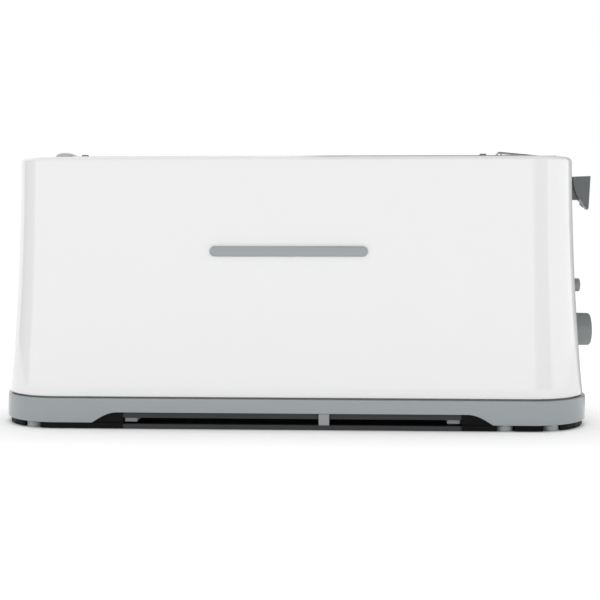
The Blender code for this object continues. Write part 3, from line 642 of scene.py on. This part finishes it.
def make_browning_knob(materials):
    """The browning knob: a drum with a rounded rim, a low dome and an inlaid pointer."""
    low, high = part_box("browning_knob")
    centre = Vector((0, 0, (low.z + high.z) / 2))
    radius = (high.z - low.z) / 2
    rim, edge = high.x - 0.0019, 0.0012
    shaft = 0.0033
    profile = [(low.x + 0.0067, 0), (low.x + 0.0067, shaft), (low.x, shaft), (low.x, radius - 0.0004)]
    profile += [(low.x + 0.0004, radius)]
    profile.append((rim, radius - 0.0002))
    for step in range(1, 9):
        angle = math.radians(90 * step / 9)
        profile.append((rim + edge * math.sin(angle), radius - 0.0002 - edge * (1 - math.cos(angle))))
    dome_start = radius - 0.0002 - edge
    for step in range(0, 11):
        share = step / 10
        out = dome_start * (1 - share)
        profile.append((rim + edge + (high.x - rim - edge) * (1 - (1 - share) ** 2), out))
    knob = turned("browning_knob_skin", profile, centre, (1, 0, 0), 96, 40)
    groove = block("pointer_groove", (high.x - 0.0022, -0.0006, centre.z + 0.0045),
                   (high.x + 0.001, 0.0006, centre.z + radius - 0.0014))
    cut(knob, [groove])
    knob.data.shade_smooth()
    knob.data.set_sharp_from_angle(angle=math.radians(40))
    finish_piece(knob, materials["knob"], "browning_control", "browning_knob")
    inlay = block("knob_pointer", (high.x - 0.0024, -0.0005, centre.z + 0.0046),
                  (high.x - 0.0012, 0.0005, centre.z + radius - 0.0015))
    soften(inlay, 0.0001)
    finish_piece(inlay, materials["white"], "browning_control")


def make_buttons(materials):
    """Three round buttons with a rounded rim and a slightly dished face."""
    for name in ("cancel", "defrost", "reheat"):
        low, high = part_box(f"{name}_button")
        centre = Vector((0, (low.y + high.y) / 2, (low.z + high.z) / 2))
        radius, collar, edge = 0.0045, (high.z - low.z) / 2, 0.0009
        profile = [(low.x, 0), (low.x, collar), (low.x + 0.0016, collar), (low.x + 0.0016, radius)]
        for step in range(7):
            angle = math.radians(90 * step / 6)
            out = high.x - edge + edge * math.sin(angle)
            profile.append((out, radius - edge * (1 - math.cos(angle))))
        profile += [(high.x - 0.0001, radius * 0.6), (high.x - 0.0003, radius * 0.3)]
        profile.append((high.x - 0.00035, 0))
        button = turned(f"{name}_button_skin", profile, centre, (1, 0, 0), 64)
        finish_piece(button, materials["knob"], name, f"{name}_button")


def end_wall(y, z):
    """X of the housing's outer face on the control end."""
    inset = shell_inset(z)
    radius, straight = CORNER - inset, HALF_DEPTH - CORNER
    beyond = max(0.0, abs(y) - straight)
    return MIDDLE + HALF_LENGTH - inset - radius + math.sqrt(radius**2 - beyond**2)


def make_browning_scale(materials):
    """Raised strokes round the knob that grow with the browning."""
    knob_low, knob_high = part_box("browning_knob")
    centre_z = (knob_low.z + knob_high.z) / 2
    bm = bmesh.new()
    strokes = 11
    inner = (knob_high.z - knob_low.z) / 2 + 0.0022
    for index in range(strokes):
        turn = math.radians(-135 + 270 * index / (strokes - 1))
        reach = 0.0010 + 0.0016 * index / (strokes - 1)
        along = Vector((0, math.sin(turn), math.cos(turn)))
        across = Vector((0, math.cos(turn), -math.sin(turn)))
        corners = []
        for distance, sideways in ((inner, -1), (inner + reach, -1), (inner + reach, 1), (inner, 1)):
            flat = along * distance + across * sideways * 0.00035
            wall = end_wall(flat.y, centre_z + flat.z)
            for out in (-0.0003, 0.0004):
                corners.append(bm.verts.new((wall + out, flat.y, centre_z + flat.z)))
        inside, outside = corners[0::2], corners[1::2]
        bm.faces.new(inside)
        bm.faces.new(outside)
        for i in range(4):
            j = (i + 1) % 4
            bm.faces.new((inside[i], inside[j], outside[j], outside[i]))
    scale = mesh_piece("browning_scale", bm)
    finish_piece(scale, materials["grey"], "toaster_body")


# The rack


def make_rack(materials):
    """Smooth chrome frames and the fingertip lever."""
    for face in ("front", "rear"):
        low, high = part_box(f"rack_{face}_wire")
        side = -1 if face == "front" else 1
        radius = (high.z - low.z) / 2
        z = low.z + radius
        rail = (low.y if side < 0 else high.y) - side * radius
        pivot = (high.y if side < 0 else low.y) + side * radius
        left_stub, right_stub = 0.0085, 0.013
        left, right = low.x + left_stub, high.x - right_stub
        path = [(low.x, pivot, z), (left, pivot, z), (left, rail, z)]
        path += [(right, rail, z), (right, pivot, z), (high.x, pivot, z)]
        wire = tube(f"rack_{face}_rail", rounded_path(path, 0.0035), radius)
        finish_piece(wire, materials["chrome"], f"rack_{face}", f"rack_{face}_wire")

    joint = next(j for j in frame["joints"] if j["name"] == "rack_finger_turn")
    pivot = Vector(joint["pos_m"])
    low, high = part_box("rack_finger_lever")
    radius, eye_radius = 0.00075, 0.0015
    eye = Vector((low.x + eye_radius + radius, 0, high.z - eye_radius - radius))
    arm = [pivot + Vector((0, -0.0021, 0)), pivot, eye + Vector((0, 0, eye_radius))]
    path = rounded_path(arm, 0.0009, 6)[:-1]
    for step in range(31):
        angle = math.radians(90 + 290 * step / 30)
        path.append(eye + Vector((math.cos(angle), 0, math.sin(angle))) * eye_radius)
    finger = tube("rack_finger_wire", path, radius)
    finish_piece(finger, materials["chrome"], "rack_finger", "rack_finger_lever")


# Nodes that keep their own shape


def dress_nodes(materials):
    """Materials and softened edges for the nodes that show as they are."""
    plain = {
        "grey": ["crumb_tray_grip"],
        "fitting": ["cord_cleat_left", "cord_cleat_right", "cord_clip"],
        "rubber": ["foot_front_left", "foot_front_right", "foot_front_middle", "foot_rear_left",
                   "foot_rear_right", "foot_rear_middle"],
        "base": ["bottom_plate"],
        "black": ["browning_potentiometer", "cancel_switch", "defrost_switch", "reheat_switch",
                  "cord_gland"],
        "block": ["rack_left_block", "rack_right_block"],
        "knob": ["rack_rest_front_left", "rack_rest_front_right", "rack_rest_rear_left",
                 "rack_rest_rear_right"],
        "steel_x": ["crumb_tray", "bread_lift", "front_heat_shield", "rear_heat_shield", "top_bracket"],
        "steel_z": ["left_end_plate", "right_end_plate", "front_bread_guide", "rear_bread_guide"],
        "zinc": ["lever_carriage", "latch_armature", "magnet_core", "guide_rod", "browning_shaft",
                 "base_screw_front_left", "base_screw_front_right", "base_screw_rear_left",
                 "base_screw_rear_right"],
        "spring": ["lift_spring"],
        "element": ["front_heater_winding", "rear_heater_winding"],
        "copper": ["magnet_coil"],
        "mica": ["front_heater_board", "rear_heater_board"],
        "board": ["control_board"],
    }
    thin = {"steel_x", "steel_z", "mica", "board"}
    wires = {"lift_spring", "front_heater_winding", "rear_heater_winding", "guide_rod", "browning_shaft"}
    for key, names in plain.items():
        for name in names:
            node = nodes[name]
            dress(node, materials[key])
            weld = node.modifiers.new("weld", "WELD")
            weld.merge_threshold = 0.00001
            if name in wires:
                node.data.shade_smooth()
                continue
            soften(node, 0.00015 if key in thin else 0.00025, 2, 40)


# Stage


def distance_outside(tree, position):
    """How far a point of the floor is outside the base's outline. It is below 0 under the toaster."""
    straight = (HALF_LENGTH - CORNER, HALF_DEPTH - CORNER, 0)
    middle = (MIDDLE, (ring_low.y + ring_high.y) / 2, 0)
    steps = (("SUBTRACT", middle), ("ABSOLUTE", None), ("SUBTRACT", straight), ("MAXIMUM", (0, 0, 0)),
             ("LENGTH", None))
    source = position
    for operation, amount in steps:
        node = tree.nodes.new("ShaderNodeVectorMath")
        node.operation = operation
        tree.links.new(source, node.inputs[0])
        if amount:
            node.inputs[1].default_value = amount
        source = node.outputs[0]
    return calculate(tree, "SUBTRACT", node.outputs["Value"], CORNER)


def light_floor(tree, shader):
    """Paints a contact shadow on the floor. Its colour is dark under the toaster. Outside it, it glows, and
    a little more further away.
    """
    combine, level = partial(calculate, tree), partial(map_range, tree)
    position = tree.nodes.new("ShaderNodeNewGeometry").outputs["Position"]
    away = distance_outside(tree, position)

    # Reflections see a dark part of the floor behind the right end, past a line that slants from it
    end_x, slant, darkest = 0.2, 0.8, 0.92
    sides = tree.nodes.new("ShaderNodeSeparateXYZ")
    tree.links.new(position, sides.inputs["Vector"])
    line = level(sides.outputs["X"], end_x, end_x + 1.0, 0.0, slant)
    past_line = level(combine("SUBTRACT", sides.outputs["Y"], line), 0.0, 0.05, 0.0, darkest)
    behind = combine("MULTIPLY", level(sides.outputs["X"], end_x + 0.005, end_x + 0.02), past_line)
    rays = tree.nodes.new("ShaderNodeLightPath")
    gap = level(combine("MULTIPLY", behind, rays.outputs["Is Glossy Ray"]), 0.0, 1.0, 1.0, 0.0)

    # Painted contact shadow: the glow steps up at the base's outline and again 35 to 75 mm away, and the
    # floor's colour falls to near black under the toaster
    near_glow, painted_shadow_albedo = 0.8, 0.03
    glow = combine("ADD", level(away, -0.004, 0.002, 0.0, near_glow),
                   level(away, 0.035, 0.075, 0.0, 1.0 - near_glow))
    tree.links.new(combine("MULTIPLY", glow, gap), shader.inputs["Emission Color"])
    shader.inputs["Emission Strength"].default_value = FLOOR_GLOW

    shade = tree.nodes.new("ShaderNodeVectorMath")
    shade.operation = "MULTIPLY"
    tree.links.new(shader.inputs["Base Color"].links[0].from_socket, shade.inputs[0])
    under = level(away, -0.012, -0.004, painted_shadow_albedo, 1.0)
    tree.links.new(combine("MULTIPLY", under, gap), shade.inputs[1])
    tree.links.new(shade.outputs["Vector"], shader.inputs["Base Color"])


def make_floor():
    """A round pale table top that fades into the white studio at its edge."""
    bm = bmesh.new()
    bmesh.ops.create_circle(bm, cap_ends=True, segments=96, radius=1.3)
    floor = mesh_piece("studio_floor", bm)
    floor.location = (0, 0.2, 0)
    material, tree, shader = new_material("studio_floor")
    grain = texture(tree, "ShaderNodeTexNoise", 60, Detail=3.0)
    vary_colour(tree, shader, grain.outputs["Fac"], (0.928, 0.928, 0.928), (0.932, 0.932, 0.932))
    shader.inputs["Roughness"].default_value = 0.9
    shader.inputs["Specular IOR Level"].default_value = 0.1
    light_floor(tree, shader)
    dress(floor, material)


def area_light(name, place, target, size, power):
    light = bpy.data.lights.new(name, "AREA")
    light.shape = "RECTANGLE"
    light.size, light.size_y = size
    light.energy = power
    thing = bpy.data.objects.new(name, light)
    thing.location = place
    thing.rotation_euler = (Vector(target) - Vector(place)).to_track_quat("-Z", "Y").to_euler()
    thing.visible_glossy = False
    bpy.context.scene.collection.objects.link(thing)
    return thing


def make_world():
    """Soft white light all round. Reflections see bright screens and dark gaps between them."""
    world = bpy.data.worlds.new("studio")
    bpy.context.scene.world = world
    world.use_nodes = True
    tree = world.node_tree
    background = tree.nodes["Background"]
    background.inputs["Strength"].default_value = 1.0

    place = tree.nodes.new("ShaderNodeTexCoord")
    parts = tree.nodes.new("ShaderNodeSeparateXYZ")
    tree.links.new(place.outputs["Generated"], parts.inputs["Vector"])

    combine, span = partial(calculate, tree), partial(map_range, tree, kind="SMOOTHSTEP")

    # Screens by turn from the front (0) through the right (90) to the back (180), in degrees
    forward = combine("MULTIPLY", parts.outputs["Y"], -1.0)
    turn = combine("MULTIPLY", combine("ARCTAN2", parts.outputs["X"], forward), 180 / math.pi)
    screens = span(turn, 150.0, 179.0, 0.0, 1.05)
    for start, end, soft, level in ((-179, -119, 2.0, 1.05), (-75, 18, 2.5, 1.6), (51, 126, 3.5, 1.7)):
        rise = span(turn, start - soft, start + soft)
        fall = span(turn, end - soft, end + soft)
        screens = combine("ADD", screens, combine("MULTIPLY", combine("SUBTRACT", rise, fall), level))
    overhead = span(parts.outputs["Z"], 0.25, 0.55)
    right = span(parts.outputs["X"], -0.05, -0.02)
    left_ceiling, right_ceiling = 1.7, 0.1
    ceiling = combine("SUBTRACT", left_ceiling, combine("MULTIPLY", right, left_ceiling - right_ceiling))
    above = combine("MULTIPLY", overhead, ceiling)
    walls = combine("MULTIPLY", screens, combine("SUBTRACT", 1.0, overhead))
    mirrored = combine("ADD", walls, above)

    rays = tree.nodes.new("ShaderNodeLightPath")
    soft_light = span(parts.outputs["Z"], 0.15, 0.9, LIGHT_AROUND - 1.0, LIGHT_ABOVE - 1.0)
    diffuse = combine("MULTIPLY", rays.outputs["Is Diffuse Ray"], soft_light)
    glossy = combine("MULTIPLY", rays.outputs["Is Glossy Ray"], combine("SUBTRACT", mirrored, 1.0))
    level = combine("ADD", combine("ADD", diffuse, glossy), 1.0)
    tree.links.new(level, background.inputs["Color"])


def make_camera():
    """A level camera in front of the toaster, turned slightly left and framed with a low shift."""
    distance, right_of_middle, height, turn_left = 0.7151, 0.0373, 0.1314, 0.0435
    camera = bpy.data.cameras.new("camera")
    camera.lens = 65.11
    camera.sensor_width = 36.0
    camera.shift_x = -0.0005
    camera.shift_y = -0.114
    thing = bpy.data.objects.new("camera", camera)
    thing.location = (MIDDLE + right_of_middle, ring_low.y - distance, height)
    thing.rotation_euler = (math.pi / 2, 0, turn_left)
    bpy.context.scene.collection.objects.link(thing)
    bpy.context.scene.camera = thing


def make_stage():
    make_floor()
    make_world()
    area_light("top_softbox", (0, 0.45, 1.2), (0, 0, 0), (1.2, 0.8), 2.5)
    area_light("low_front_fill", (0, -1.3, 0.12), (0, 0, 0.02), (1.6, 0.2), 1.2)
    bpy.context.scene.view_settings.view_transform = "Standard"


def main():
    materials = make_materials()
    make_camera()
    make_housing(materials)
    make_base_ring(materials)
    make_trim_bar(materials)
    make_slot_liner(materials)
    make_lever(materials)
    make_browning_knob(materials)
    make_buttons(materials)
    make_browning_scale(materials)
    make_rack(materials)
    dress_nodes(materials)
    make_stage()


main()
